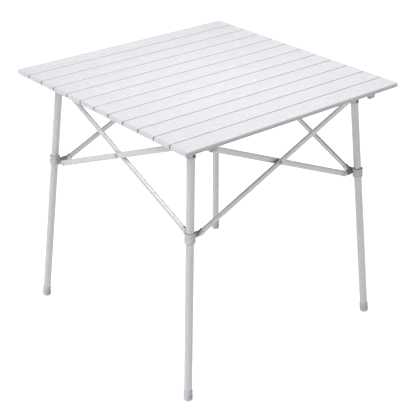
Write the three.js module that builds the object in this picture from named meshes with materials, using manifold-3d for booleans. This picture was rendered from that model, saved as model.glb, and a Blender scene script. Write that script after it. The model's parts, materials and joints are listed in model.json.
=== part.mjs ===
// Folding camp side table: a roll-up slatted aluminium top on a frame of four splayed legs.
// Each side of the frame is an X of two flat-oval braces, pinned to a top hub and to a hub that
// slides on the next leg, so that the four legs close together like an umbrella.
// Millimetres, +Z up, X along the slats, Y across them, origin on the floor under the centre.
import * as THREE from 'three';
import { mergeVertices } from 'three/addons/utils/BufferGeometryUtils.js';
import Module from 'manifold-3d';

const wasm = await Module();
wasm.setup();

// ---- Driving dimensions ------------------------------------------------------------------

const CLEARANCE = 0.3; // between pieces that touch
const BURIED = 1; // how far parts of one moulding run into each other
const FOLDED_SLOPE = 80; // of the braces, in degrees, with the frame closed

const TABLE_SIZE = 700;
const TABLE_HEIGHT = 690;
const SLAT_COUNT = 12;
const SLAT_THICKNESS = 11;
const SLAT_GAP = 1;
const SLAT_WALL = 0.9;
const SLAT_TOP_RADIUS = 1.2;
const SLAT_BOTTOM_RADIUS = 2.6;
const CHAMBER_TOP_RADIUS = 0.8;
const CHAMBER_BOTTOM_RADIUS = 1.7;

const LEG_RADIUS = 10;
const LEG_WALL = 1.2;
const TOP_HUB_INSET = 78; // from the table's edge to the leg axis at the top hub
const SLIDE_HUB_OUTSET = 17.6; // how far each slide hub stands outside its top hub, along X and Y
const TOP_PIN_HEIGHT = 656;
const SLIDE_PIN_HEIGHT = 436;
const PIN_INSET = 96; // from the table's edge to the brace pins, along the brace

const BRACE_HEIGHT = 15;
const BRACE_THICKNESS = 7;
const BRACE_WALL = 1.1;
const BRACE_EDGE_RADIUS = 3;
const BRACE_SPACING = 10; // between the middle planes of the two braces of a side
const BRACE_SLOT = 7.3; // from each end pin, where the narrow edges are cut away for the lug

const LUG_RADIUS = 6.9;
const PIN_RADIUS = 2.5;
const PIN_HEAD_RADIUS = 4.8;
const PIN_HEAD_THICKNESS = 1.8;
const PIN_HEAD_RIM = 0.5; // how far the rim of a pin head is below its middle
const PIVOT_FLANGE_RADIUS = 8;

const TOP_HUB_RADIUS = 13.5;
const TOP_HUB_PLATE = 9.4;
const HUB_NECK_RADIUS = 9.3; // between the plate and the socket, clear of the brace ends
const HUB_SOCKET_RADIUS = 12; // outside of the top hub's socket round the leg
const HUB_SOCKET_PLAY = 0.6; // room for the leg to change its tilt inside the socket
const HUB_PEG_RADIUS = 7.7; // the top hub's peg inside the leg

// Distances below the top pins.
const SOCKET_TOP = 11;
const SOCKET_ROOF = 12.5;
const LEG_TOP = 13;
const PEG_BOTTOM = 26;
const SOCKET_BOTTOM = 25;

const SLIDE_HUB_RADIUS = 14;
const SLIDE_HUB_HEIGHT = 32;
const SLIDE_HUB_PLAY = 0.55; // room for the leg to change its tilt inside the hub
const SLIDE_ARM_LENGTH = 27; // most of it is buried in the collar
const SLIDE_ARM_WIDTH = 8;
const SLIDE_ARM_GAP = 0.8; // from the arm to the round end of the brace

const FOOT_RADIUS = 11.5;
const FOOT_HEIGHT = 32;
const FOOT_FLOOR = 5; // rubber under the end of the leg
const FOOT_TREAD_RADIUS = 8; // where the floor cuts the domed end flat
const FOOT_DOME = [10.6, 1.2]; // radius and height of a point between the tread and the side
const FOOT_RIM_DROP = 4; // height of the taper at the top
const FOOT_RIM_INSET = 0.6;
const FOOT_TRIM = 3; // cut away to level the tread

const CLIP_WIDTH = 18;
const CLIP_LENGTH = 12;
const CLIP_HEIGHT = 13;
const CLIP_EDGE = 7; // from the table's edge to the clip
const CLIP_REACH = 262; // from the middle of the slat to the middle of the clip
const CLIP_TOP_RADIUS = 0.5;
const CLIP_RADIUS = 4;

const ROUND_SEGMENTS = 22;
const SMALL_SEGMENTS = 10;

// ---- Places worked out from them ---------------------------------------------------------

const half = TABLE_SIZE / 2;
const topHub = half - TOP_HUB_INSET;
const slideHub = topHub + SLIDE_HUB_OUTSET;
const pinReach = half - PIN_INSET;
const outerPlane = (topHub + slideHub) / 2 + BRACE_SPACING / 2;
const innerPlane = outerPlane - BRACE_SPACING;
const pinDrop = TOP_PIN_HEIGHT - SLIDE_PIN_HEIGHT;
const braceLength = Math.hypot(2 * pinReach, pinDrop);
const braceSlope = Math.atan2(pinDrop, 2 * pinReach);
const crossingHeight = (TOP_PIN_HEIGHT + SLIDE_PIN_HEIGHT) / 2;
const lugHalf = BRACE_THICKNESS / 2 - BRACE_WALL - CLEARANCE; // lugs sit inside the tube ends
const slatUnderside = TABLE_HEIGHT - SLAT_THICKNESS;
const hubTop = slatUnderside - CLEARANCE;
const plateUnderside = hubTop - TOP_HUB_PLATE;

// The leg leans out equally along X and Y; folded, it leans only a little.
const legLean = SLIDE_HUB_OUTSET / pinDrop;
const legUp = new THREE.Vector3(legLean, legLean, 1).normalize();
const legBelowPivot = TOP_PIN_HEIGHT / legUp.z;
const foldedDrop = braceLength * Math.sin(THREE.MathUtils.degToRad(FOLDED_SLOPE));
const foldedLean = SLIDE_HUB_OUTSET / foldedDrop;
const middleLean = (legLean + foldedLean) / 2;
const middleUp = new THREE.Vector3(middleLean, middleLean, 1).normalize();

const xAxis = new THREE.Vector3(1, 0, 0);
const yAxis = new THREE.Vector3(0, 1, 0);
const zAxis = new THREE.Vector3(0, 0, 1);

const cornerNames = ['front', 'right', 'back', 'left'];
const sideNames = ['front_right', 'right_back', 'back_left', 'left_front'];

// ---- Materials ---------------------------------------------------------------------------

function material(color, roughness, metalness) {
  return () => new THREE.MeshStandardMaterial({ color, roughness, metalness });
}

const slatAluminium = material(0xe9eaec, 0.42, 0.6);
const tubeAluminium = material(0xdedfe3, 0.34, 0.7);
const hubPlastic = material(0xbfbfbd, 0.55, 0);
const footRubber = material(0xa9adb3, 0.7, 0);
const rivetSteel = material(0x7d7d80, 0.35, 0.9);

// ---- Solid helpers -----------------------------------------------------------------------

function solidOf(geometry) {
  const bare = geometry.clone();
  bare.deleteAttribute('normal');
  bare.deleteAttribute('uv');
  const merged = mergeVertices(bare, 1e-4);
  const vertProperties = new Float32Array(merged.attributes.position.array);
  const triVerts = new Uint32Array(merged.index.array);
  return new wasm.Manifold(new wasm.Mesh({ numProp: 3, vertProperties, triVerts }));
}

function geometryOf(solid) {
  const { vertProperties, triVerts } = solid.getMesh();
  const geometry = new THREE.BufferGeometry();
  geometry.setAttribute('position', new THREE.BufferAttribute(new Float32Array(vertProperties), 3));
  geometry.setIndex(new THREE.BufferAttribute(new Uint32Array(triVerts), 1));
  geometry.computeVertexNormals();
  return geometry;
}

function join(solids) {
  return solids.reduce((whole, solid) => whole.add(solid));
}

function box(x, y, z) {
  const geometry = new THREE.BoxGeometry(x[1] - x[0], y[1] - y[0], z[1] - z[0]);
  geometry.translate((x[0] + x[1]) / 2, (y[0] + y[1]) / 2, (z[0] + z[1]) / 2);
  return solidOf(geometry);
}

// A cylinder about a point, along any direction.
function rod(radius, length, centre, direction, segments = ROUND_SEGMENTS) {
  const geometry = new THREE.CylinderGeometry(radius, radius, length, segments);
  geometry.applyQuaternion(new THREE.Quaternion().setFromUnitVectors(yAxis, direction));
  geometry.translate(centre.x, centre.y, centre.z);
  return solidOf(geometry);
}

// A turned piece whose profile is [radius, height] pairs that end on the axis or close.
function turned(profile, segments = ROUND_SEGMENTS) {
  const points = profile.map(([radius, height]) => new THREE.Vector2(radius, height));
  const geometry = new THREE.LatheGeometry(points, segments);
  geometry.rotateX(Math.PI / 2);
  return geometry;
}

function roundedRectangle(width, height, topRadius, bottomRadius, Outline = THREE.Shape) {
  const x = width / 2;
  const y = height / 2;
  const outline = new Outline();
  outline.moveTo(-x + bottomRadius, -y);
  outline.lineTo(x - bottomRadius, -y);
  outline.absarc(x - bottomRadius, -y + bottomRadius, bottomRadius, -Math.PI / 2, 0);
  outline.lineTo(x, y - topRadius);
  outline.absarc(x - topRadius, y - topRadius, topRadius, 0, Math.PI / 2);
  outline.lineTo(-x + topRadius, y);
  outline.absarc(-x + topRadius, y - topRadius, topRadius, Math.PI / 2, Math.PI);
  outline.lineTo(-x, -y + bottomRadius);
  outline.absarc(-x + bottomRadius, -y + bottomRadius, bottomRadius, Math.PI, 1.5 * Math.PI);
  outline.closePath();
  return outline;
}

// An outline drawn across Y and Z, extruded along X about the middle.
function extrudedAlongX(outline, length, curveSegments) {
  const geometry = new THREE.ExtrudeGeometry(outline, { depth: length, bevelEnabled: false, curveSegments });
  geometry.translate(0, 0, -length / 2);
  geometry.applyMatrix4(new THREE.Matrix4().makeBasis(yAxis, zAxis, xAxis));
  return geometry;
}

function named(name, geometry, makeMaterial) {
  const mesh = new THREE.Mesh(geometry, makeMaterial());
  mesh.name = name;
  return mesh;
}

// ---- Tabletop ----------------------------------------------------------------------------

function slatChamber(width, height) {
  return roundedRectangle(width, height, CHAMBER_TOP_RADIUS, CHAMBER_BOTTOM_RADIUS, THREE.Path);
}

function slatGeometry() {
  const width = TABLE_SIZE / SLAT_COUNT - SLAT_GAP;
  const outline = roundedRectangle(width, SLAT_THICKNESS, SLAT_TOP_RADIUS, SLAT_BOTTOM_RADIUS);
  const chamberWidth = (width - 3 * SLAT_WALL) / 2;
  const chamberHeight = SLAT_THICKNESS - 2 * SLAT_WALL;
  const chamberShift = (chamberWidth + SLAT_WALL) / 2;
  for (const shift of [-chamberShift, chamberShift]) {
    const chamber = slatChamber(chamberWidth, chamberHeight);
    const points = chamber.getPoints(2).map((point) => new THREE.Vector2(point.x + shift, point.y));
    outline.holes.push(new THREE.Path(points));
  }
  return geometryOf(solidOf(extrudedAlongX(outline, TABLE_SIZE, 2)));
}

function makeTabletop() {
  const tabletop = new THREE.Group();
  const pitch = TABLE_SIZE / SLAT_COUNT;
  for (let i = 0; i < SLAT_COUNT; i += 1) {
    const number = String(i + 1).padStart(2, '0');
    const slat = named(`slat_${number}`, slatGeometry(), slatAluminium);
    slat.position.set(0, half - pitch * (i + 0.5), TABLE_HEIGHT - SLAT_THICKNESS / 2);
    tabletop.add(slat);
  }
  return tabletop;
}

// A plastic tongue under an end slat, which locates the tabletop on a top hub.
function clipGeometry() {
  const outline = roundedRectangle(CLIP_LENGTH, CLIP_HEIGHT, CLIP_TOP_RADIUS, CLIP_RADIUS);
  return geometryOf(solidOf(extrudedAlongX(outline, CLIP_WIDTH, 2)));
}

function makeClips() {
  const clips = new THREE.Group();
  const away = half - CLIP_EDGE - CLIP_LENGTH / 2;
  const signs = { front: [-1, -1], right: [1, -1], back: [1, 1], left: [-1, 1] };
  for (const [corner, [x, y]] of Object.entries(signs)) {
    const clip = named(`corner_clip_${corner}`, clipGeometry(), hubPlastic);
    clip.position.set(x * CLIP_REACH, y * away, hubTop - CLIP_HEIGHT / 2);
    clips.add(clip);
  }
  return clips;
}

// ---- Corner: top hub, leg, foot and slide hub, drawn for the front corner (-X, -Y) ----------

// Exchanges X and Y, to make the same lug for a brace along Y.
function mirrored(solid) {
  return solid.mirror([1, -1, 0]);
}

function topHubGeometry() {
  const centre = new THREE.Vector3(-topHub, -topHub, (hubTop + plateUnderside) / 2);
  const disc = rod(TOP_HUB_RADIUS, TOP_HUB_PLATE, centre, zAxis);
  const neck = hangingRod(HUB_NECK_RADIUS, plateUnderside + BURIED, TOP_PIN_HEIGHT - SOCKET_ROOF);
  const socket = hangingRod(HUB_SOCKET_RADIUS, TOP_PIN_HEIGHT - SOCKET_TOP, TOP_PIN_HEIGHT - SOCKET_BOTTOM);
  const boreRadius = LEG_RADIUS + CLEARANCE + HUB_SOCKET_PLAY;
  const boreBottom = TOP_PIN_HEIGHT - SOCKET_BOTTOM - BURIED;
  const bore = hangingRod(boreRadius, TOP_PIN_HEIGHT - SOCKET_ROOF, boreBottom);
  const peg = hangingRod(HUB_PEG_RADIUS, TOP_PIN_HEIGHT - SOCKET_ROOF + BURIED, TOP_PIN_HEIGHT - PEG_BOTTOM);
  const lugs = [topLug(innerPlane), mirrored(topLug(outerPlane))];
  return geometryOf(join([disc, neck, socket]).subtract(bore).add(join([peg, ...lugs])));
}

// A rod on the leg's middle lean, about the top hub, between two heights.
function hangingRod(radius, top, bottom) {
  const centre = new THREE.Vector3(-topHub, -topHub, TOP_PIN_HEIGHT);
  centre.addScaledVector(middleUp, (top + bottom) / 2 - TOP_PIN_HEIGHT);
  return rod(radius, top - bottom, centre, middleUp);
}

// A tongue hanging from an arm of the plate, for a brace along X.
function topLug(plane) {
  const end = -pinReach + LUG_RADIUS;
  const arm = box([-topHub, end], across(plane, BRACE_THICKNESS / 2), [plateUnderside, hubTop]);
  const z = [TOP_PIN_HEIGHT, plateUnderside + BURIED];
  const tongue = box([-pinReach - LUG_RADIUS, end], across(plane, lugHalf), z);
  return pinned(plane, TOP_PIN_HEIGHT, [arm, tongue, lugEnd(plane, TOP_PIN_HEIGHT)]);
}

// A tongue from a block on the collar, for a brace along X.
function slideLug(plane) {
  const armEnd = -pinReach - BRACE_HEIGHT / 2 - SLIDE_ARM_GAP;
  const z = [SLIDE_PIN_HEIGHT - LUG_RADIUS, SLIDE_PIN_HEIGHT + LUG_RADIUS];
  const arm = box([armEnd - SLIDE_ARM_LENGTH, armEnd], across(plane, SLIDE_ARM_WIDTH / 2), z);
  const tongue = box([armEnd - BURIED, -pinReach], across(plane, lugHalf), z);
  return pinned(plane, SLIDE_PIN_HEIGHT, [arm, tongue, lugEnd(plane, SLIDE_PIN_HEIGHT)]);
}

function across(plane, halfWidth) {
  return [-plane - halfWidth, -plane + halfWidth];
}

function lugEnd(plane, height) {
  const pin = new THREE.Vector3(-pinReach, -plane, height);
  return rod(LUG_RADIUS, 2 * lugHalf, pin, yAxis, SMALL_SEGMENTS);
}

function pinned(plane, height, solids) {
  const pin = new THREE.Vector3(-pinReach, -plane, height);
  const hole = rod(PIN_RADIUS + CLEARANCE, 2 * BRACE_THICKNESS, pin, yAxis, SMALL_SEGMENTS);
  return join(solids).subtract(hole);
}

// The collar is open on its outer side, where the leg swings out a little as the table folds.
function slideHubGeometry() {
  const centre = new THREE.Vector3(-slideHub, -slideHub, SLIDE_PIN_HEIGHT);
  const collar = rod(SLIDE_HUB_RADIUS, SLIDE_HUB_HEIGHT, centre, zAxis);
  const body = join([collar, slideLug(outerPlane), mirrored(slideLug(innerPlane))]);
  const boreRadius = LEG_RADIUS + CLEARANCE + SLIDE_HUB_PLAY;
  const bore = rod(boreRadius, 3 * SLIDE_HUB_HEIGHT, centre, middleUp);
  const slotHalf = LEG_RADIUS + CLEARANCE;
  const slotReach = 4 * LEG_RADIUS;
  const slot = new THREE.BoxGeometry(slotReach, 2 * slotHalf, 2 * SLIDE_HUB_HEIGHT);
  slot.translate(-slotReach / 2, 0, 0);
  slot.rotateZ(Math.PI / 4);
  slot.translate(centre.x, centre.y, centre.z);
  return geometryOf(body.subtract(bore).subtract(solidOf(slot)));
}

// Legs and feet are drawn about their own axis, with the height of the top pins at zero.
function placeOnLegAxis(geometry) {
  geometry.applyQuaternion(new THREE.Quaternion().setFromUnitVectors(zAxis, legUp));
  geometry.translate(-topHub, -topHub, TOP_PIN_HEIGHT);
  return geometry;
}

function legGeometry() {
  const inside = LEG_RADIUS - LEG_WALL;
  const top = -LEG_TOP;
  const bottom = FOOT_FLOOR + CLEARANCE - legBelowPivot;
  const profile = [
    [inside, top],
    [inside, bottom],
    [LEG_RADIUS, bottom],
    [LEG_RADIUS, top],
    [inside, top],
  ];
  return geometryOf(solidOf(placeOnLegAxis(turned(profile))));
}

function footGeometry() {
  const socket = LEG_RADIUS + CLEARANCE;
  const profile = [
    [0, -FOOT_TRIM],
    [FOOT_TREAD_RADIUS, -FOOT_TRIM],
    FOOT_DOME,
    [FOOT_RADIUS, FOOT_FLOOR],
    [FOOT_RADIUS, FOOT_HEIGHT - FOOT_RIM_DROP],
    [FOOT_RADIUS - FOOT_RIM_INSET, FOOT_HEIGHT],
    [socket, FOOT_HEIGHT],
    [socket, FOOT_FLOOR],
    [0, FOOT_FLOOR],
  ];
  const onAxis = profile.map(([radius, height]) => [radius, height - legBelowPivot]);
  const cup = solidOf(placeOnLegAxis(turned(onAxis)));
  const aboveFloor = box([-TABLE_SIZE, 0], [-TABLE_SIZE, 0], [0, 2 * FOOT_HEIGHT]);
  return geometryOf(cup.intersect(aboveFloor));
}

// ---- Side: two braces, their cross pivot and their end pins, drawn for the front-right side ---

function braceGeometry() {
  const edge = BRACE_EDGE_RADIUS;
  const section = roundedRectangle(BRACE_THICKNESS, BRACE_HEIGHT, edge, edge);
  const insideWidth = BRACE_THICKNESS - 2 * BRACE_WALL;
  const insideHeight = BRACE_HEIGHT - 2 * BRACE_WALL;
  const insideEdge = edge - BRACE_WALL;
  section.holes.push(roundedRectangle(insideWidth, insideHeight, insideEdge, insideEdge, THREE.Path));
  const tube = solidOf(extrudedAlongX(section, braceLength + BRACE_HEIGHT, 2));
  const ends = [-1, 1].map((side) => new THREE.Vector3((side * braceLength) / 2, 0, 0));
  const width = 2 * BRACE_THICKNESS;
  const through = (radius) => (centre) => rod(radius, width, centre, yAxis, SMALL_SEGMENTS);
  const flat = box([ends[0].x, ends[1].x], [-width, width], [-BRACE_HEIGHT, BRACE_HEIGHT]);
  const rounded = join([flat, ...ends.map(through(BRACE_HEIGHT / 2))]);
  const eyes = [...ends, new THREE.Vector3()].map(through(PIN_RADIUS + CLEARANCE));
  const inside = [-insideWidth / 2, insideWidth / 2];
  const slots = ends.map(({ x }) => {
    const reach = [x - Math.sign(x) * BRACE_SLOT, x + Math.sign(x) * BRACE_HEIGHT].sort((a, b) => a - b);
    return box(reach, inside, [-BRACE_HEIGHT, BRACE_HEIGHT]);
  });
  return geometryOf(tube.intersect(rounded).subtract(join([...eyes, ...slots])));
}

// A rivet with a head at each end, along Y, with an optional spacer flange in its middle.
function rivetGeometry(grip, flange) {
  const headStart = grip / 2 + CLEARANCE;
  const headEnd = headStart + PIN_HEAD_THICKNESS;
  const lower = [
    [0, -headEnd],
    [PIN_HEAD_RADIUS, -headEnd + PIN_HEAD_RIM],
    [PIN_HEAD_RADIUS, -headStart],
    [PIN_RADIUS, -headStart],
  ];
  if (flange) lower.push([PIN_RADIUS, -flange], [PIVOT_FLANGE_RADIUS, -flange]);
  const upper = lower.map(([radius, height]) => [radius, -height]).reverse();
  const geometry = turned([...lower, ...upper], SMALL_SEGMENTS);
  geometry.rotateX(Math.PI / 2);
  return geometryOf(solidOf(geometry));
}

function rivetAt(name, x, y, z, grip, flange) {
  const rivet = named(name, rivetGeometry(grip, flange), rivetSteel);
  rivet.position.set(x, y, z);
  return rivet;
}

function makeSide(side) {
  const group = new THREE.Group();
  for (const [kind, plane, turn] of [['outer', outerPlane, -1], ['inner', innerPlane, 1]]) {
    const brace = named(`brace_${kind}_${side}`, braceGeometry(), tubeAluminium);
    brace.position.set(0, -plane, crossingHeight);
    brace.rotation.y = turn * braceSlope;
    group.add(brace);
    const topX = -turn * pinReach;
    group.add(rivetAt(`top_pin_${kind}_${side}`, topX, -plane, TOP_PIN_HEIGHT, BRACE_THICKNESS, 0));
    group.add(rivetAt(`slide_pin_${kind}_${side}`, -topX, -plane, SLIDE_PIN_HEIGHT, BRACE_THICKNESS, 0));
  }
  const between = (outerPlane + innerPlane) / 2;
  const flange = (BRACE_SPACING - BRACE_THICKNESS) / 2 - CLEARANCE;
  const pivotGrip = BRACE_SPACING + BRACE_THICKNESS;
  group.add(rivetAt(`brace_pivot_${side}`, 0, -between, crossingHeight, pivotGrip, flange));
  return group;
}

function makeCorner(corner) {
  const group = new THREE.Group();
  group.add(named(`top_hub_${corner}`, topHubGeometry(), hubPlastic));
  group.add(named(`slide_hub_${corner}`, slideHubGeometry(), hubPlastic));
  group.add(named(`leg_${corner}`, legGeometry(), tubeAluminium));
  group.add(named(`foot_${corner}`, footGeometry(), footRubber));
  return group;
}

// ---- Assembly ----------------------------------------------------------------------------

const table = new THREE.Group();
table.add(makeTabletop(), makeClips());
for (let turn = 0; turn < 4; turn += 1) {
  const quarter = new THREE.Group();
  quarter.rotation.z = (turn * Math.PI) / 2;
  quarter.add(makeCorner(cornerNames[turn]), makeSide(sideNames[turn]));
  table.add(quarter);
}

export default table;
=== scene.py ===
"""Folding camp side table with a roll-up slatted top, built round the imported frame."""
import json
import math

import bpy
from mathutils import Matrix, Vector


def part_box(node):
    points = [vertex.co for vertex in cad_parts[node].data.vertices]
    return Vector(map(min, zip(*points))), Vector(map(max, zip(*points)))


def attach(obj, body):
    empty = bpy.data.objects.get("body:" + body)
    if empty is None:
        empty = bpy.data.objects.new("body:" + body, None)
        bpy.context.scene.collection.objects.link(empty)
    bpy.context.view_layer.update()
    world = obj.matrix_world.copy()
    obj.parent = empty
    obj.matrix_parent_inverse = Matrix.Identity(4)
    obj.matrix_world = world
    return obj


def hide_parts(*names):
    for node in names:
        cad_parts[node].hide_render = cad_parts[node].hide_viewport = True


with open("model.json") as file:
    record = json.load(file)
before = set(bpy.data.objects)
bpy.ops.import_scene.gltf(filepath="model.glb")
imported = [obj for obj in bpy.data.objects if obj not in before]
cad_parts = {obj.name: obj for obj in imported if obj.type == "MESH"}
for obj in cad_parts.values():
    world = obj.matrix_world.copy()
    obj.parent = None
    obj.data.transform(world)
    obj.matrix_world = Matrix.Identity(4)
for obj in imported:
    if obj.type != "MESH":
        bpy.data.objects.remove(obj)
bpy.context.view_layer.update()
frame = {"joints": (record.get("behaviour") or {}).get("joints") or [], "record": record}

# ---- Names in the frame -------------------------------------------------------------------------

CORNERS = ["front", "right", "back", "left"]
SIDES = ["front_right", "right_back", "back_left", "left_front"]
SLATS = [f"slat_{number:02d}" for number in range(1, 13)]
BODIES = frame["record"]["behaviour"]["bodies"]
JOINTS = {joint["name"]: joint for joint in frame["joints"]}
MOUNTS = {mount["name"]: mount for mount in frame["record"]["mounts"]}

# ---- Sizes, in metres ---------------------------------------------------------------------------

MM = 0.001
BURIED = 1 * MM  # how far the parts of one moulding run into each other

# Slats. Heights are from the middle of the slat.
SLAT_TOP_RADIUS = 1.5 * MM
SLAT_BOTTOM_RADIUS = 2.6 * MM
SLAT_SHY = 0.22 * MM  # from each long edge to the slat's box, so that the gaps show
SLAT_SHADE_STRIP = 1.2 * SLAT_TOP_RADIUS  # along each long edge, where a darker tint paints the shade of the gaps between slats
RIB_PITCH = 4.1 * MM
RIB_GROOVE = 1.1 * MM
RIB_DEPTH = 0.35 * MM
RIB_MARGIN = 2 * SLAT_TOP_RADIUS
HINGE_GROOVE = 1.4 * MM  # depth of the groove along each long edge, for the joint
HINGE_GROOVE_LOW = -2.2 * MM
HINGE_GROOVE_HIGH = 2.0 * MM
HINGE_GROOVE_LIP = 0.4 * MM

# End caps of the slats.
CAP = 3.2 * MM  # length of the slat that its cap takes up
CAP_SHY = 1.05 * MM  # from each side of the cap to the slat's box
CAP_PLAY = 0.1 * MM
CAP_GAP = 0.05 * MM
CAP_TOP_RADIUS = 2.2 * MM
CAP_BOTTOM_RADIUS = 3.0 * MM
CAP_EDGE = 0.8 * MM
CAP_PANEL_INSET = 2.2 * MM
CAP_PANEL_SLOPE = 0.4 * MM
CAP_PANEL_DEPTH = 0.6 * MM

# Bosses between the end caps.
BOSS_LENGTH = 7.4 * MM
BOSS_THICKNESS = 2.7 * MM
BOSS_FROM_END = 4.1 * MM
BOSS_LOW = -4.4 * MM  # from the middle height of the slats
BOSS_HIGH = 4.6 * MM
BOSS_RADIUS = 1 * MM
BOSS_EDGE = 0.3 * MM

# Clips under the end slats.
CLIP_TOP_RADIUS = 0.8 * MM
CLIP_BOTTOM_RADIUS = 4 * MM
CLIP_EDGE = 1.2 * MM
CLIP_SCREW = (1.9 * MM, 0.6 * MM)  # radius and height of the head

# Legs and feet. Heights on a foot are from the ground, along the leg.
LEG_RADIUS = 10 * MM
LEG_BORE = 8.8 * MM
LEG_TOP = -13 * MM  # from the height of the top pins
LEG_BOTTOM = 5.5 * MM  # from the ground
LEG_EDGE = 0.4 * MM
FOOT_RADIUS = 11.5 * MM
FOOT_HEIGHT = 32 * MM
FOOT_DOME = 14 * MM
FOOT_DOME_STEPS = 9
FOOT_GROOVES = 3
FOOT_GROOVE_START = 11.5 * MM
FOOT_GROOVE_PITCH = 4.5 * MM
FOOT_GROOVE_DEPTH = 0.9 * MM
FOOT_GROOVE_HALF = 1.2 * MM
FOOT_TAPER = [(0.2 * MM, 3 * MM), (0.5 * MM, 1 * MM), (1.1 * MM, 0)]  # inset, drop from the top
FOOT_PLAY = 0.15 * MM
FOOT_FLOOR = 5.2 * MM

# Braces.
BRACE_DEPTH = 15 * MM
BRACE_WIDTH = 7 * MM
BRACE_WALL = 1.1 * MM
BRACE_EDGE_RADIUS = 3.4 * MM
BRACE_SLOT = 7.3 * MM  # from each end pin, where the narrow edges are cut away for the lug
BRACE_RIM = 0.25 * MM  # how much the cut rim is broken
BRACE_RIM_LENGTH = 0.3 * MM
CHEEK_OVERLAP = 1.5 * MM
CHEEK_EDGE = 0.3 * MM

# Rivets and screws.
PIN_RADIUS = 2.5 * MM
PIN_HEAD_RADIUS = 4.8 * MM
PIN_HEAD_HEIGHT = 1.8 * MM
PIN_HEAD_RIM = 0.5 * MM
PIN_HEAD_SHOULDER = 1.1 * MM
PIN_HEAD_DIMPLE = 0.7 * MM
HEAD_GAP = 0.3 * MM
HEAD_SUNK = 0.4 * MM
SPACER_RADIUS = 8 * MM
SPACER_HALF = 1.2 * MM
SPACER_EDGE = 0.4 * MM
SPACER_BORE = PIN_RADIUS + 0.1 * MM

# Lugs that hold the braces' ends.
LUG_RADIUS = 6.9 * MM
LUG_HALF = 2.1 * MM
LUG_EDGE = 0.5 * MM

# Top hubs. Heights are from the top pins, along the leg.
HUB_DISC_RADIUS = 13.5 * MM
HUB_PLATE = 9.4 * MM
HUB_PLATE_EDGE = 1.1 * MM
HUB_TIP_RADIUS = 1 * MM  # corners of the plate over each lug
HUB_TIP_REACH = LUG_RADIUS - HUB_TIP_RADIUS
HUB_TIP_HALF = 0.36 * BRACE_WIDTH
NECK_RADIUS = 9.3 * MM
NECK_BORE = 2 * MM
NECK_FLARE = (0.4 * MM, 0.6 * MM)  # width and height, where the neck meets the socket
SOCKET_RADIUS = 12 * MM
SOCKET_BORE = 10.95 * MM
SOCKET_TOP = -11 * MM
SOCKET_BOTTOM = -25 * MM
SOCKET_ROOF = 1.5 * MM
SOCKET_EDGE = 0.7 * MM
SOCKET_BAND = 3.4 * MM  # height of the thicker band at the mouth
SOCKET_BAND_END = 4.0 * MM
SOCKET_STEP = 0.5 * MM
SOCKET_SHOULDER = 1.2 * MM
SOCKET_SCREW_AT = -17 * MM
SOCKET_SCREW = (4.0 * MM, 2.2 * MM)  # radius and height of the head
SOCKET_SCREW_SUNK = 1 * MM

# Slide hubs. The collar's height is from the slide pins, along the leg.
COLLAR_RADIUS = 14 * MM
COLLAR_TOP = 11.5 * MM
COLLAR_BOTTOM = -14.8 * MM
COLLAR_BORE = LEG_RADIUS + 0.45 * MM
COLLAR_MOUTH = 11.4 * MM
COLLAR_BELL = 6 * MM  # depth of the bore's widening at each end
COLLAR_RIM = 1.6 * MM
COLLAR_LOWER = [(2.2, 0), (0.7, 4.0), (0.1, 6.5), (0.8, 7.2)]  # inset and rise, in millimetres
COLLAR_UPPER = [(0.8, 5.2), (0.1, 4.5), (0.4, 0.9)]  # inset and drop, in millimetres
ARM_WIDTH = 8 * MM
ARM_GAP = 0.8 * MM  # from the arm to the round end of the brace
ARM_START = 9.8 * MM  # from the leg's axis
ARM_RADIUS = 1 * MM
ARM_EDGE = 1.2 * MM
ARM_LUG_BURIED = 4 * MM
BUTTON = [(5.2, 0), (5.2, 1.2), (4.6, 1.9), (2.6, 1.9), (2.2, 1.2)]  # profile, in millimetres
BUTTON_SUNK = 1.6 * MM

# Flat sides round each turned shape.
LEG_SEGMENTS = 64
SOCKET_SEGMENTS = 56
SPACER_SEGMENTS = 40
BUTTON_SEGMENTS = 36
HEAD_SEGMENTS = 32
FLOOR_SEGMENTS = 96

# ---- Looks --------------------------------------------------------------------------------------

SHARP_ANGLE = 34  # degrees between faces, above which an edge stays sharp
SLAT_TINT = (0.575, 0.575, 0.598)
# painted shade: the slats' long edges take this darker tint in place of the shade in the gaps
# between slats
SLAT_EDGE_SHADE_TINT = (0.46, 0.46, 0.475)
TUBE_TINT = (0.435, 0.435, 0.448)
BRACE_TINT = (0.465, 0.465, 0.478)
CAP_TINT = (0.425, 0.425, 0.455)
HUB_TINT = (0.385, 0.38, 0.375)
# painted shade: the lugs and the slide hubs' arms take this dark tint in place of the shade round
# the braces' ends; the spacer washers have it as their own dark colour
DARK_SPACER_AND_LUG_SHADE_TINT = (0.16, 0.16, 0.16)
# painted shade: near-black tint for the bosses, standing in for the shade in the notch between the
# end caps
BOSS_SHADE_TINT = (0.05, 0.05, 0.05)
CLIP_TINT = (0.30, 0.29, 0.27)
FOOT_TINT = (0.345, 0.355, 0.38)
RIVET_TINT = (0.32, 0.31, 0.30)
PIN_TINT = (0.56, 0.56, 0.57)
SCREW_TINT = (0.10, 0.10, 0.10)
DIE_LINES = (3, 900, 900)  # how tightly the drawn metal's grain is packed along X, Y and Z
FLECKS = (55, 260, 260)
MOULD_GRAIN = 1400.0
MOULD_CLOUD = 40.0
PLATING_SPOTS = 600.0

# ---- Studio, in metres and degrees --------------------------------------------------------------

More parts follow.
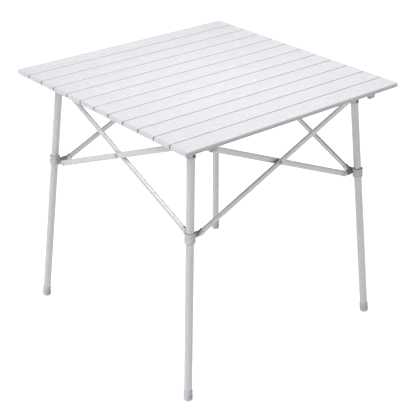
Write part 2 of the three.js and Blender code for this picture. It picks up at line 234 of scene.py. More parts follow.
CAMERA_PLACE = (-1.664, -1.959, 1.614)
CAMERA_AZIMUTH = -40.57
CAMERA_ELEVATION = 26.95
CAMERA_ROLL = 0.52
CAMERA_LENS = 90.7  # in millimetres, on a 36 mm sensor
OVERHEAD_POWER = 6
OVERHEAD_PLACE = (0.0, -0.1, 1.6)
OVERHEAD_TARGET = (0, 0, 0.4)
OVERHEAD_SIZE = 0.9
SUN_WAY = (-0.75, 0.1, 0.85)
SUN_ANGLE = 35
SUN_STRENGTH = 3.2
WORLD_BRIGHT_WAY = (-0.62, -0.1, 0.68)
WORLD_BRIGHT = 0.34
WORLD_DARK = 0.03
WORLD_FADE = (-0.6, 0.95)  # cosines of the directions where the fade starts and ends
FLOOR_GLOW = 0.95
FLOOR_PALE = 0.26
FLOOR_DULL = 0.24
FLOOR_RADIUS = 60.0
FLOOR_DROP = 0.5 * MM  # from the ground to the floor's top
COVE_HEIGHT = 19.0
COVE_WALL = 0.2
COVE_FOOT = 0.5  # how far the cove's wall goes below the ground

# ---- Places taken from the frame ----------------------------------------------------------------


def middle(node):
    low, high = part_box(node)
    return (Vector(low) + Vector(high)) / 2


def size_of(node):
    low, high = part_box(node)
    return [high[axis] - low[axis] for axis in range(3)]


def body_with(node):
    """The moving body that a node of the frame belongs to."""
    return next(name for name, members in BODIES.items() if node in members)


def side_turn(corner_index):
    """Corners and sides repeat by quarter turns about Z."""
    return Matrix.Rotation(corner_index * math.pi / 2, 4, "Z")


def pin_direction(side):
    """The way out of a side of the frame, which is the way of its pins."""
    return side_turn(SIDES.index(side)) @ Vector((0, -1, 0))


def hub_pins(end, kinds, index):
    """A hub's two pins: the middle, the way to the brace, and the way out of the side."""
    turn = side_turn(index)
    ways = (turn @ Vector((1, 0, 0)), turn @ Vector((0, 1, 0)))
    pins = []
    for kind, side, way in zip(kinds, (SIDES[index], SIDES[index - 1]), ways):
        pins.append((middle(f"{end}_pin_{kind}_{side}"), way, pin_direction(side)))
    return pins


def leg_pivot(corner):
    """The point in the top hub about which the leg leans, at the height of the top pins."""
    return Vector(JOINTS[f"leg_lean_{corner}"]["pos_m"])


def frame_of(origin, x_axis, y_axis):
    """X along x_axis, and Y as near y_axis as it can be."""
    x = x_axis.normalized()
    z = x.cross(y_axis).normalized()
    y = z.cross(x)
    return Matrix.Translation(origin) @ Matrix((x, y, z)).transposed().to_4x4()


def facing(spot, outward):
    """Z outward and Y up."""
    up = Vector((0, 0, 1))
    return frame_of(spot, up.cross(outward), up)


def leg_frame(corner):
    """Z up the leg, from the height of the top pins. Also the leg's length and direction."""
    top = leg_pivot(corner)
    ground = Vector(MOUNTS[f"foot_face_{corner}"]["pos_m"])
    up = (top - ground).normalized()
    outward = Vector((ground.x, ground.y, 0)).normalized()
    there = frame_of(top, up.cross(outward).cross(up), up.cross(outward))
    return there, (top - ground).length, up


def halfway_frame(corner):
    """The leg's frame, turned about the top hub to the middle of the leg's lean."""
    joint = JOINTS[f"leg_lean_{corner}"]
    halfway = math.radians(sum(joint["range_deg"]) / 2)
    pivot = Matrix.Translation(leg_pivot(corner))
    turn = Matrix.Rotation(halfway, 4, Vector(joint["axis"]))
    return pivot @ turn @ pivot.inverted() @ leg_frame(corner)[0]


def brace_frame(kind, side):
    """X along the brace from its slide pin to its top pin, Z square to the side's plane."""
    foot_pin = middle(f"slide_pin_{kind}_{side}")
    top_pin = middle(f"top_pin_{kind}_{side}")
    along = top_pin - foot_pin
    there = frame_of((foot_pin + top_pin) / 2, along, pin_direction(side).cross(along))
    return there, along


# ---- Outlines: rows of (x, y), anticlockwise ----------------------------------------------------


def arc(centre, radius, start, end, steps=5):
    angles = [math.radians(start + (end - start) * i / steps) for i in range(steps + 1)]
    return [(centre[0] + radius * math.cos(a), centre[1] + radius * math.sin(a)) for a in angles]


def rounded_rectangle(width, height, top, bottom, steps=5):
    """Centred on the origin, with its own radius for the top and the bottom corners."""
    x, y = width / 2, height / 2
    outline = arc((x - bottom, bottom - y), bottom, -90, 0, steps)
    outline += arc((x - top, y - top), top, 0, 90, steps)
    outline += arc((top - x, y - top), top, 90, 180, steps)
    outline += arc((bottom - x, bottom - y), bottom, 180, 270, steps)
    return outline


def tongue(start, end, radius):
    """A strip along X from start to a round end about the point end."""
    return [(start, -radius)] + arc((end, 0), radius, -90, 90, 14) + [(start, radius)]


def inset_outline(outline, distance):
    """Moves each point of an outline inward, square to the line through its neighbours."""
    moved = []
    for i, (x, y) in enumerate(outline):
        before, after = outline[i - 1], outline[(i + 1) % len(outline)]
        along = Vector((after[0] - before[0], after[1] - before[1])).normalized()
        moved.append((x - along.y * distance, y + along.x * distance))
    return moved


def turn_of(a, b, c):
    """Positive where the path from a by b to c turns left."""
    return (b[0] - a[0]) * (c[1] - a[1]) - (b[1] - a[1]) * (c[0] - a[0])


def convex_hull(points):
    """The outline round some points."""
    ordered = sorted(set((round(x, 7), round(y, 7)) for x, y in points))

    def chain(row):
        hull = []
        for point in row:
            while len(hull) > 1 and turn_of(hull[-2], hull[-1], point) <= 0:
                hull.pop()
            hull.append(point)
        return hull[:-1]

    return chain(ordered) + chain(list(reversed(ordered)))


def slat_outline(width, height):
    """The slat's section, with fine ribs on top and a groove in each long edge."""
    x, y = width / 2, height / 2
    low, high, deep = HINGE_GROOVE_LOW, HINGE_GROOVE_HIGH, x - HINGE_GROOVE
    inner_low, inner_high = low + HINGE_GROOVE_LIP, high - HINGE_GROOVE_LIP
    bottom, top = SLAT_BOTTOM_RADIUS, SLAT_TOP_RADIUS
    outline = arc((x - bottom, bottom - y), bottom, -90, 0)
    outline += [(x, low), (deep, inner_low), (deep, inner_high), (x, high)]
    outline += arc((x - top, y - top), top, 0, 90)
    count = int((width - 2 * RIB_MARGIN) / RIB_PITCH)
    edge = RIB_GROOVE / 2
    for i in range(count):
        centre = ((count - 1) / 2 - i) * RIB_PITCH
        outline += [(centre + edge, y), (centre + edge / 2, y - RIB_DEPTH)]
        outline += [(centre - edge / 2, y - RIB_DEPTH), (centre - edge, y)]
    outline += arc((top - x, y - top), top, 90, 180)
    outline += [(-x, high), (-deep, inner_high), (-deep, inner_low), (-x, low)]
    outline += arc((bottom - x, bottom - y), bottom, 180, 270)
    return outline


# ---- Shapes: each is (points, faces) ------------------------------------------------------------


def merged(shapes):
    points, faces = [], []
    for shape_points, shape_faces in shapes:
        start = len(points)
        points.extend(shape_points)
        faces.extend([tuple(index + start for index in face) for face in shape_faces])
    return points, faces


def placed(shape, matrix):
    return [matrix @ point for point in shape[0]], shape[1]


def lofted(rings, closed=False):
    """Skins a row of rings of equal length. Open rows get a flat cap at each end."""
    count = len(rings[0])
    points = [point for ring in rings for point in ring]
    faces = []
    spans = len(rings) if closed else len(rings) - 1
    for span in range(spans):
        first = span * count
        second = ((span + 1) % len(rings)) * count
        for i in range(count):
            j = (i + 1) % count
            faces.append((first + i, first + j, second + j, second + i))
    if not closed:
        last = (len(rings) - 1) * count
        faces.append(tuple(reversed(range(count))))
        faces.append(tuple(range(last, last + count)))
    return points, faces


def circle(radius, height, segments):
    turns = [2 * math.pi * i / segments for i in range(segments)]
    return [Vector((radius * math.cos(a), radius * math.sin(a), height)) for a in turns]


def turned(profile, segments, closed=False):
    """A turned shape about Z from (radius, height) pairs, rising."""
    return lofted([circle(radius, height, segments) for radius, height in profile], closed)


def stacked(outline, levels):
    """Skins an outline in X and Y, inset at each of some heights, from (inset, height) pairs."""
    rings = []
    for inset, height in levels:
        rings.append([Vector((x, y, height)) for x, y in inset_outline(outline, inset)])
    return lofted(rings)


def slab(outline, thickness, edge):
    """A plate of a convex outline, centred on Z, with softened edges."""
    half = thickness / 2
    return stacked(outline, [(edge, -half), (0, edge - half), (0, half - edge), (edge, half)])


def domed_head(radius, height):
    """A screw's head with a drive in the middle of its dome, standing on Z = 0."""
    profile = [(radius, -HEAD_SUNK), (radius, height * 0.35), (radius * 0.9, height * 0.7)]
    profile += [(radius * 0.6, height), (radius * 0.32, height), (radius * 0.22, height * 0.6)]
    return turned(profile, HEAD_SEGMENTS)


def rivet(grip):
    """A rivet along Z with a domed, dimpled head outside each end of its grip."""
    start = grip / 2 + HEAD_GAP
    end = start + PIN_HEAD_HEIGHT
    r = PIN_HEAD_RADIUS
    upper = [(PIN_RADIUS, start), (r, start), (r, start + PIN_HEAD_RIM)]
    upper += [(r * 0.93, start + PIN_HEAD_SHOULDER), (r * 0.7, end)]
    upper += [(r * 0.36, end), (r * 0.26, end - PIN_HEAD_DIMPLE)]
    lower = [(radius, -height) for radius, height in reversed(upper)]
    return turned(lower + upper, HEAD_SEGMENTS)


def lug(pin, way, outward, start):
    """A tongue that ends round about a pin, inside the slotted end of a brace."""
    shape = slab(tongue(-start, 0, LUG_RADIUS), 2 * LUG_HALF, LUG_EDGE)
    return placed(shape, frame_of(pin, way, outward.cross(way)))


# ---- Materials ----------------------------------------------------------------------------------


def new_material(name):
    material = bpy.data.materials.new(name)
    material.use_nodes = True
    tree = material.node_tree
    shader = next(node for node in tree.nodes if node.type == "BSDF_PRINCIPLED")
    return material, tree, shader


def noise(tree, vector, scale, detail=3.0):
    node = tree.nodes.new("ShaderNodeTexNoise")
    node.inputs["Scale"].default_value = scale
    node.inputs["Detail"].default_value = detail
    tree.links.new(vector, node.inputs["Vector"])
    return node.outputs["Fac"]


def ramp(tree, value, low, high):
    """Maps a noise value to a colour or a grey between two ends."""
    node = tree.nodes.new("ShaderNodeValToRGB")
    node.color_ramp.elements[0].position = 0.3
    node.color_ramp.elements[1].position = 0.7
    node.color_ramp.elements[0].color = (*low, 1)
    node.color_ramp.elements[1].color = (*high, 1)
    tree.links.new(value, node.inputs["Fac"])
    return node.outputs["Color"]


def bump(tree, shader, value, strength, distance):
    node = tree.nodes.new("ShaderNodeBump")
    node.inputs["Strength"].default_value = strength
    node.inputs["Distance"].default_value = distance
    tree.links.new(value, node.inputs["Height"])
    tree.links.new(node.outputs["Normal"], shader.inputs["Normal"])


def object_coordinates(tree, rotation=(0, 0, 0), stretch=(1, 1, 1)):
    source = tree.nodes.new("ShaderNodeTexCoord")
    turn = tree.nodes.new("ShaderNodeMapping")
    turn.inputs["Rotation"].default_value = rotation
    tree.links.new(source.outputs["Object"], turn.inputs["Vector"])
    scale = tree.nodes.new("ShaderNodeMapping")
    scale.inputs["Scale"].default_value = stretch
    tree.links.new(turn.outputs["Vector"], scale.inputs["Vector"])
    return scale.outputs["Vector"]


def drawn_aluminium(name, tint, direction, metallic, roughness, specular=0.5):
    """Satin anodised aluminium, with die lines and flecks along the way it was drawn."""
    material, tree, shader = new_material(name)
    rotation = direction.rotation_difference(Vector((1, 0, 0))).to_euler()
    along = object_coordinates(tree, rotation, DIE_LINES)
    short = object_coordinates(tree, rotation, FLECKS)
    lines = noise(tree, along, 1.0, 4.0)
    flecks = noise(tree, short, 1.0, 2.0)
    mix = tree.nodes.new("ShaderNodeMix")
    mix.data_type = "FLOAT"
    mix.inputs["Factor"].default_value = 0.6
    tree.links.new(lines, mix.inputs["A"])
    tree.links.new(flecks, mix.inputs["B"])
    low = tuple(channel * 0.90 for channel in tint)
    high = tuple(min(1.0, channel * 1.06) for channel in tint)
    tree.links.new(ramp(tree, mix.outputs["Result"], low, high), shader.inputs["Base Color"])
    rough = ramp(tree, lines, (roughness - 0.07,) * 3, (roughness + 0.08,) * 3)
    tree.links.new(rough, shader.inputs["Roughness"])
    shader.inputs["Metallic"].default_value = metallic
    shader.inputs["Specular IOR Level"].default_value = specular
    bump(tree, shader, lines, 0.12, 0.0002)
    return material


def moulded(name, tint, roughness):
    """Moulded plastic or rubber, with a fine spark-eroded grain and slight uneven colour."""
    material, tree, shader = new_material(name)
    plain = object_coordinates(tree)
    fine = noise(tree, plain, MOULD_GRAIN)
    cloud = noise(tree, plain, MOULD_CLOUD)
    low = tuple(channel * 0.92 for channel in tint)
    high = tuple(min(1.0, channel * 1.06) for channel in tint)
    tree.links.new(ramp(tree, cloud, low, high), shader.inputs["Base Color"])
    rough = ramp(tree, fine, (roughness - 0.06,) * 3, (roughness + 0.06,) * 3)
    tree.links.new(rough, shader.inputs["Roughness"])
    shader.inputs["Specular IOR Level"].default_value = 0.4
    bump(tree, shader, fine, 0.25, 0.0003)
    return material


def plated_steel(name, tint):
    """Dull plating with fine spots."""
    material, tree, shader = new_material(name)
    plain = object_coordinates(tree)
    spots = noise(tree, plain, PLATING_SPOTS)
    low = tuple(channel * 0.8 for channel in tint)
    tree.links.new(ramp(tree, spots, low, tint), shader.inputs["Base Color"])
    rough = ramp(tree, spots, (0.3,) * 3, (0.45,) * 3)
    tree.links.new(rough, shader.inputs["Roughness"])
    shader.inputs["Metallic"].default_value = 0.85
    bump(tree, shader, spots, 0.1, 0.0002)
    return material


SLAT_WAY = Vector((1, 0, 0))
SLAT_METAL = drawn_aluminium(
    "slat_metal", SLAT_TINT, SLAT_WAY, metallic=0.05, roughness=0.62, specular=0.15)
# painted shade along the slats' long edges and gaps
SLAT_EDGE_PAINTED_SHADE = drawn_aluminium(
    "slat_edge_painted_shade", SLAT_EDGE_SHADE_TINT, SLAT_WAY, metallic=0.25, roughness=0.5)
CAP_PLASTIC = moulded("cap_plastic", CAP_TINT, roughness=0.5)
HUB_PLASTIC = moulded("hub_plastic_grey", HUB_TINT, roughness=0.5)
# dark lugs and arms are painted shade; the spacers' dark colour is their own
DARK_SPACER_AND_LUG_SHADE_PLASTIC = moulded("dark_spacer_and_lug_shade_plastic", DARK_SPACER_AND_LUG_SHADE_TINT, roughness=0.5)
# near-black bosses paint the shade between the end caps
BOSS_PAINTED_SHADE = moulded("boss_painted_shade", BOSS_SHADE_TINT, roughness=0.5)
FOOT_RUBBER = moulded("foot_rubber_grey", FOOT_TINT, roughness=0.6)
RIVET_STEEL = plated_steel("rivet_plate", RIVET_TINT)
PIN_METAL = plated_steel("pin_metal", PIN_TINT)
SCREW_METAL = plated_steel("screw_metal", SCREW_TINT)
CLIP_PLASTIC = moulded("clip_plastic", CLIP_TINT, roughness=0.5)

# ---- Pieces -------------------------------------------------------------------------------------

# Takes an outline in X and Y to one in Y and Z, so that what is stacked runs along X.
ACROSS = Matrix(((0, 0, 1, 0), (1, 0, 0, 0), (0, 1, 0, 0), (0, 0, 0, 1)))


def make_piece(name, shape, body, material, nodes=()):
    """A mesh that rides a body and stands for the CAD nodes given, if any."""
    mesh = bpy.data.meshes.new(name)
    mesh.from_pydata(shape[0], [], shape[1])
    mesh.validate()
    mesh.materials.append(material)
    mesh.shade_smooth()
    mesh.set_sharp_from_angle(angle=math.radians(SHARP_ANGLE))
    piece = bpy.data.objects.new(name, mesh)
    bpy.context.scene.collection.objects.link(piece)
    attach(piece, body)
    if nodes:
        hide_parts(*nodes)
    return piece


def make_slat(node):
    """The ribbed extrusion, with its long edges in a darker tint that paints the shade of the
    gaps, and two end caps.
    """
    length, width, height = size_of(node)
    centre = middle(node)
    reach = length / 2 - CAP
    there = Matrix.Translation(centre) @ ACROSS
    body = body_with(node)
    bar = stacked(slat_outline(width - 2 * SLAT_SHY, height), [(0, -reach), (0, reach)])
    shape = placed(bar, there)
    slat = make_piece(f"{node}_extrusion", shape, body, SLAT_METAL, [node])
    slat.data.materials.append(SLAT_EDGE_PAINTED_SHADE)
    # faces near each long edge take the darker tint, as painted shade along the gaps
    for face in slat.data.polygons:
        if abs(face.center.y - centre.y) > width / 2 - SLAT_SHADE_STRIP:
            face.material_index = 1
    for end, side in (("left", -1), ("right", 1)):
        flip = Matrix.Scale(side, 4, Vector((0, 0, 1)))
        cap = placed(end_cap(width, height, length / 2), there @ flip)
        if side < 0:
            cap = (cap[0], [tuple(reversed(face)) for face in cap[1]])
        make_piece(f"{node}_cap_{end}", cap, body, CAP_PLASTIC)


def end_cap(width, height, end):
    """A cap with a softened rim and a shallow sunk panel, along +Z from the slat to its end."""
    outline = rounded_rectangle(
        width - 2 * CAP_SHY, height - CAP_PLAY, CAP_TOP_RADIUS, CAP_BOTTOM_RADIUS)
    levels = [(0, end - CAP + CAP_GAP), (0, end - CAP_EDGE), (CAP_EDGE, end)]
    levels += [(CAP_PANEL_INSET, end)]
    levels += [(CAP_PANEL_INSET + CAP_PANEL_SLOPE, end - CAP_PANEL_DEPTH)]
    return stacked(outline, levels)


def make_bosses(number):
    """The short bosses between the end caps of a slat and of the next one, a guessed hinge insert
    tinted near-black to paint the shade in the notch between the caps.
    """
    node, following = SLATS[number], SLATS[number + 1]
    gap = (middle(node) + middle(following)) / 2
    reach = size_of(node)[0] / 2 - BOSS_FROM_END
    outline = rounded_rectangle(BOSS_LENGTH, BOSS_HIGH - BOSS_LOW, BOSS_RADIUS, BOSS_RADIUS)
    boss = slab(outline, BOSS_THICKNESS, BOSS_EDGE)
    shapes = []
    for side in (-1, 1):
        spot = Vector((side * reach, gap.y, gap.z + (BOSS_HIGH + BOSS_LOW) / 2))
        shapes.append(placed(boss, frame_of(spot, Vector((1, 0, 0)), Vector((0, 0, 1)))))
    body = body_with(node)
    make_piece(f"{node}_bosses", merged(shapes), body, BOSS_PAINTED_SHADE)


def make_clip(corner):
    """A moulded tongue with a rounded underside and a screw."""
    node = f"corner_clip_{corner}"
    length, width, height = size_of(node)
    centre = middle(node)
    outline = rounded_rectangle(width, height, CLIP_TOP_RADIUS, CLIP_BOTTOM_RADIUS)
    block = placed(slab(outline, length, CLIP_EDGE), Matrix.Translation(centre) @ ACROSS)
    body = body_with(node)
    make_piece(f"{node}_block", block, body, CLIP_PLASTIC, [node])
    under = Matrix.Translation(centre - Vector((0, 0, height / 2)))
    head = placed(domed_head(*CLIP_SCREW), under @ Matrix.Rotation(math.pi, 4, "X"))
    make_piece(f"{node}_screw", head, body, RIVET_STEEL)


def make_leg(corner):
    """A round tube from inside the top hub's socket to the floor of the foot."""
    node = f"leg_{corner}"
    there, length, up = leg_frame(corner)
    r, bottom, top = LEG_RADIUS, LEG_BOTTOM - length, LEG_TOP
    profile = [(LEG_BORE, top), (LEG_BORE, bottom), (r - LEG_EDGE, bottom)]
    profile += [(r, bottom + LEG_EDGE), (r, top - LEG_EDGE), (r - LEG_EDGE, top)]
    tube = placed(turned(profile, LEG_SEGMENTS, closed=True), there)
    metal = drawn_aluminium(
        f"leg_metal_{corner}", TUBE_TINT, up, metallic=0.45, roughness=0.34)
    make_piece(f"{node}_tube", tube, body_with(node), metal, [node])


def make_foot(corner):
    """A grooved cap with a domed tread that touches the ground at one point under the leg."""
    node = f"foot_{corner}"
    there, length, up = leg_frame(corner)
    centre = FOOT_DOME / up.z
    widest = math.asin(FOOT_RADIUS / FOOT_DOME)
    profile = []
    for step in range(1, FOOT_DOME_STEPS + 1):
        angle = widest * step / FOOT_DOME_STEPS
        profile.append((FOOT_DOME * math.sin(angle), centre - FOOT_DOME * math.cos(angle)))
    for groove in range(FOOT_GROOVES):
        height = FOOT_GROOVE_START + FOOT_GROOVE_PITCH * groove
        for depth, rise in ((0, -1), (1, -0.5), (1, 0.5), (0, 1)):
            radius = FOOT_RADIUS - depth * FOOT_GROOVE_DEPTH
            profile.append((radius, height + rise * FOOT_GROOVE_HALF))
    profile += [(FOOT_RADIUS - inset, FOOT_HEIGHT - drop) for inset, drop in FOOT_TAPER]
    bore = LEG_RADIUS + FOOT_PLAY
    profile += [(bore, FOOT_HEIGHT), (bore, FOOT_FLOOR)]
    shape = turned([(radius, height - length) for radius, height in profile], LEG_SEGMENTS)
    cap = placed(shape, there)
    make_piece(f"{node}_cap", cap, body_with(node), FOOT_RUBBER, [node])


def hub_plate(pivot, pins, thickness):
    """A plate that joins the disc over the leg to the lugs of both braces."""
    points = arc((pivot.x, pivot.y), HUB_DISC_RADIUS, 0, 360, 40)
    for pin, way, outward in pins:
        for across in (-HUB_TIP_HALF, HUB_TIP_HALF):
            tip = pin + way * HUB_TIP_REACH + outward * across
            points += arc((tip.x, tip.y), HUB_TIP_RADIUS, 0, 360, 8)
    return slab(convex_hull(points), thickness, HUB_PLATE_EDGE)


def hub_socket(neck_top):
    """The socket round the leg, with a band at its mouth and a neck up into the plate."""
    r, top, drop = SOCKET_RADIUS, SOCKET_TOP, SOCKET_BOTTOM
    waist, roof = r - SOCKET_STEP, top - SOCKET_ROOF
    flare, flare_height = NECK_FLARE
    profile = [(SOCKET_BORE, roof), (SOCKET_BORE, drop), (r - SOCKET_EDGE, drop)]
    profile += [(r, drop + SOCKET_EDGE), (r, drop + SOCKET_BAND)]
    profile += [(waist, drop + SOCKET_BAND_END), (waist, top - SOCKET_SHOULDER)]
    profile += [(NECK_RADIUS + flare, top), (NECK_RADIUS, top + flare_height)]
    profile += [(NECK_RADIUS, neck_top), (NECK_BORE, neck_top), (NECK_BORE, roof)]
    return turned(profile, SOCKET_SEGMENTS, closed=True)


def make_top_hub(index):
    """A plate under the slats, with a socket for the leg and a hanging lug for each brace."""
    corner = CORNERS[index]
    node = f"top_hub_{corner}"
    plate_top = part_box(node)[1][2]
    plate_bottom = plate_top - HUB_PLATE
    pivot = leg_pivot(corner)
    there = halfway_frame(corner)
    pins = hub_pins("top", ("inner", "outer"), index)
    level = Matrix.Translation(Vector((0, 0, (plate_top + plate_bottom) / 2)))
    shapes = [placed(hub_plate(pivot, pins, HUB_PLATE), level)]
    shapes.append(placed(hub_socket(plate_bottom - pivot.z + BURIED), there))
    lugs = []
    for pin, _, outward in pins:
        lugs.append(lug(pin, Vector((0, 0, -1)), outward, plate_bottom - pin.z + BURIED))
    body = body_with(node)
    make_piece(f"{node}_moulding", merged(shapes), body, HUB_PLASTIC, [node])
    # the lugs' dark tint is painted shade under the plate
    make_piece(f"{node}_lugs", merged(lugs), body, DARK_SPACER_AND_LUG_SHADE_PLASTIC)
    for number, (_, _, outward) in enumerate(pins, 1):
        spot = there @ Vector((0, 0, SOCKET_SCREW_AT))
        spot += outward * (SOCKET_RADIUS - SOCKET_SCREW_SUNK)
        screw = placed(domed_head(*SOCKET_SCREW), facing(spot, outward))
        make_piece(f"{node}_screw_{number}", screw, body, SCREW_METAL)


def collar():
    """A bell-mouthed collar, tapered at the bottom, with a waist between two thicker bands."""
    r, low, high = COLLAR_RADIUS, COLLAR_BOTTOM, COLLAR_TOP
    profile = [(r - COLLAR_RIM, high), (COLLAR_MOUTH, high), (COLLAR_BORE, high - COLLAR_BELL)]
    profile += [(COLLAR_BORE, low + COLLAR_BELL), (COLLAR_MOUTH, low)]
    profile += [(r - inset * MM, low + rise * MM) for inset, rise in COLLAR_LOWER]
    profile += [(r - inset * MM, high - drop * MM) for inset, drop in COLLAR_UPPER]
    return turned(profile, LEG_SEGMENTS, closed=True)


def slide_arm(pin, way, outward, centre):
    """The block that carries a slide hub's lug, from inside the collar to the brace's end."""
    end = BRACE_DEPTH / 2 + ARM_GAP
    length = (pin - centre).dot(way) - end - ARM_START
    outline = rounded_rectangle(length, 2 * LUG_RADIUS, ARM_RADIUS, ARM_RADIUS)
    stand = frame_of(pin - way * (end + length / 2), way, outward.cross(way))
    return placed(slab(outline, ARM_WIDTH, ARM_EDGE), stand)


def make_slide_hub(index):
    """A closed collar on the leg, an arm and lug for each brace, and round bosses."""
    corner = CORNERS[index]
    node = f"slide_hub_{corner}"
    pins = hub_pins("slide", ("outer", "inner"), index)
    up = leg_frame(corner)[2]
    pivot = leg_pivot(corner)
    centre = pivot - up * ((pivot.z - pins[0][0].z) / up.z)
    on_leg = Matrix.Translation(centre - pivot) @ halfway_frame(corner)
    lugs = []
    for pin, way, outward in pins:
        lugs.append(lug(pin, way, outward, BRACE_DEPTH / 2 + ARM_LUG_BURIED))
        lugs.append(slide_arm(pin, way, outward, centre))
    body = body_with(node)
    ring = placed(collar(), on_leg)
    make_piece(f"{node}_moulding", ring, body, HUB_PLASTIC, [node])
    # the dark lugs and arms paint the shade between the collar and the braces' ends
    make_piece(f"{node}_lugs", merged(lugs), body, DARK_SPACER_AND_LUG_SHADE_PLASTIC)
    button = turned([(radius * MM, height * MM) for radius, height in BUTTON], BUTTON_SEGMENTS)
    for number, (_, _, outward) in enumerate(pins, 1):
        spot = centre + outward * (COLLAR_RADIUS - BUTTON_SUNK)
        boss = placed(button, facing(spot, outward))
        make_piece(f"{node}_boss_{number}", boss, body, HUB_PLASTIC)


def make_brace(kind, side):
    """A flat-oval tube whose ends are slotted and rounded round the hubs' lugs."""
    node = f"brace_{kind}_{side}"
    there, along = brace_frame(kind, side)
    reach = along.length / 2
    edge = BRACE_EDGE_RADIUS
    outside = rounded_rectangle(BRACE_DEPTH, BRACE_WIDTH, edge, edge, 7)
    inside = inset_outline(outside, BRACE_WALL)
    rim = inset_outline(outside, BRACE_RIM)
    end = reach - BRACE_SLOT
    loops = [(outside, BRACE_RIM_LENGTH - end), (outside, end - BRACE_RIM_LENGTH)]
    loops += [(rim, end), (inside, end), (inside, -end), (rim, -end)]
    rings = [[Vector((x, y, z)) for y, z in outline] for outline, x in loops]
    shapes = [lofted(rings, closed=True)]
    plate = tongue(end - CHEEK_OVERLAP, reach, BRACE_DEPTH / 2)
    cheek = slab(plate, BRACE_WALL, CHEEK_EDGE)
    for half_turn in (0, math.pi):
        for cheek_side in (-1, 1):
            lift = cheek_side * (BRACE_WIDTH - BRACE_WALL) / 2
            raised = Matrix.Translation(Vector((0, 0, lift)))
            shapes.append(placed(cheek, Matrix.Rotation(half_turn, 4, "Z") @ raised))
    way = along.normalized()
    metal = drawn_aluminium(
        f"tube_metal_{kind}_{side}", BRACE_TINT, way, metallic=0.4, roughness=0.44)
    tube = placed(merged(shapes), there)
    make_piece(f"{node}_tube", tube, body_with(node), metal, [node])


def make_rivet(node, side, grip, metal):
    shape = placed(rivet(grip), facing(middle(node), pin_direction(side)))
    make_piece(f"{node}_rivet", shape, body_with(node), metal, [node])


def make_pivot(side):
    """The cross rivet, and the spacer washer between the braces."""
    node = f"brace_pivot_{side}"
    outward = pin_direction(side)
    between = middle(f"top_pin_outer_{side}") - middle(f"top_pin_inner_{side}")
    make_rivet(node, side, between.dot(outward) + BRACE_WIDTH, RIVET_STEEL)
    r, half, edge = SPACER_RADIUS, SPACER_HALF, SPACER_EDGE
    profile = [(SPACER_BORE, -half), (r - edge, -half), (r, edge - half)]
    profile += [(r, half - edge), (r - edge, half), (SPACER_BORE, half)]
    washer = turned(profile, SPACER_SEGMENTS, closed=True)
    spacer = placed(washer, facing(middle(node), outward))
    # the spacer's dark tint is the washer's own colour
    make_piece(f"brace_spacer_{side}", spacer, body_with(node), DARK_SPACER_AND_LUG_SHADE_PLASTIC)


def make_table():
    for node in SLATS:
        make_slat(node)
    for number in range(len(SLATS) - 1):
        make_bosses(number)
    for index, corner in enumerate(CORNERS):
        make_clip(corner)
        make_leg(corner)
        make_foot(corner)
        make_top_hub(index)
        make_slide_hub(index)
    for side in SIDES:
        for kind in ("outer", "inner"):
            make_brace(kind, side)
            for end in ("top", "slide"):
                make_rivet(f"{end}_pin_{kind}_{side}", side, BRACE_WIDTH, PIN_METAL)
        make_pivot(side)


# ---- Studio -------------------------------------------------------------------------------------


def make_camera():
    """Stands off the front corner, a little above the top, with a mild telephoto lens."""
    data = bpy.data.cameras.new("camera")
    data.sensor_width = 36
    data.lens = CAMERA_LENS
    camera = bpy.data.objects.new("camera", data)
    bpy.context.scene.collection.objects.link(camera)
    azimuth, elevation = math.radians(CAMERA_AZIMUTH), math.radians(CAMERA_ELEVATION)
    level = math.cos(elevation)
    back = Vector((math.sin(azimuth) * level, -math.cos(azimuth) * level, math.sin(elevation)))
    roll = Matrix.Rotation(math.radians(CAMERA_ROLL), 3, "Z").to_quaternion()
    camera.rotation_mode = "QUATERNION"
    camera.rotation_quaternion = (-back).to_track_quat("-Z", "Y") @ roll
    camera.location = CAMERA_PLACE
    bpy.context.scene.camera = camera


def link_light(data, direction, place=(0, 0, 0)):
    """Adds a light that shines along a direction."""
    light = bpy.data.objects.new(data.name, data)
    bpy.context.scene.collection.objects.link(light)
    light.location = place
    light.rotation_mode = "QUATERNION"
    light.rotation_quaternion = direction.to_track_quat("-Z", "Y")


def make_lights():
    """A soft disc over the top, and a wide sun from the left."""
    overhead = bpy.data.lights.new("overhead", "AREA")
    overhead.shape = "DISK"
    overhead.size = OVERHEAD_SIZE
    overhead.energy = OVERHEAD_POWER
    downward = Vector(OVERHEAD_TARGET) - Vector(OVERHEAD_PLACE)
    link_light(overhead, downward, OVERHEAD_PLACE)
    sun = bpy.data.lights.new("key", "SUN")
    sun.angle = math.radians(SUN_ANGLE)
    sun.energy = SUN_STRENGTH
    link_light(sun, -Vector(SUN_WAY))


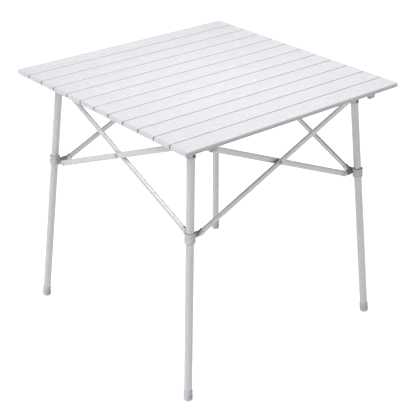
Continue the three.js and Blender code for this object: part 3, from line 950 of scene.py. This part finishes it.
def make_world():
    """A studio that is bright on the left and overhead, and darker towards the right."""
    world = bpy.data.worlds.new("studio")
    world.use_nodes = True
    tree = world.node_tree
    background = next(node for node in tree.nodes if node.type == "BACKGROUND")
    direction = tree.nodes.new("ShaderNodeTexCoord").outputs["Generated"]
    dot = tree.nodes.new("ShaderNodeVectorMath")
    dot.operation = "DOT_PRODUCT"
    dot.inputs[1].default_value = Vector(WORLD_BRIGHT_WAY).normalized()
    tree.links.new(direction, dot.inputs[0])
    fade = tree.nodes.new("ShaderNodeMapRange")
    fade.interpolation_type = "SMOOTHSTEP"
    fade.inputs["From Min"].default_value, fade.inputs["From Max"].default_value = WORLD_FADE
    fade.inputs["To Min"].default_value = WORLD_DARK
    fade.inputs["To Max"].default_value = WORLD_BRIGHT
    tree.links.new(dot.outputs["Value"], fade.inputs["Value"])
    tree.links.new(fade.outputs["Result"], background.inputs["Strength"])
    background.inputs["Color"].default_value = (1, 1, 1, 1)
    bpy.context.scene.world = world


def make_floor():
    """White paper that glows a little, swept up far away into a cove that hides the world."""
    mesh = bpy.data.meshes.new("floor")
    r, top = FLOOR_RADIUS, COVE_HEIGHT
    cove = [(r + COVE_WALL, -COVE_FOOT), (r + COVE_WALL, top), (r, top)]
    cove += [(r - 0.1 * top, 0.4 * top), (r - 0.4 * top, 0.1 * top), (r - top, -FLOOR_DROP)]
    shape = turned(cove, FLOOR_SEGMENTS)
    mesh.from_pydata(shape[0], [], shape[1])
    material, tree, shader = new_material("floor_paper")
    patches = noise(tree, object_coordinates(tree), 3.0)
    paper = ramp(tree, patches, (FLOOR_DULL,) * 3, (FLOOR_PALE,) * 3)
    tree.links.new(paper, shader.inputs["Base Color"])
    shader.inputs["Roughness"].default_value = 0.9
    shader.inputs["Specular IOR Level"].default_value = 0.1
    shader.inputs["Emission Color"].default_value = (1, 1, 1, 1)
    shader.inputs["Emission Strength"].default_value = FLOOR_GLOW
    mesh.materials.append(material)
    floor = bpy.data.objects.new("floor", mesh)
    bpy.context.scene.collection.objects.link(floor)


def make_studio():
    bpy.context.scene.view_settings.view_transform = "Standard"
    make_world()
    make_floor()
    make_lights()


make_camera()
make_studio()
make_table()
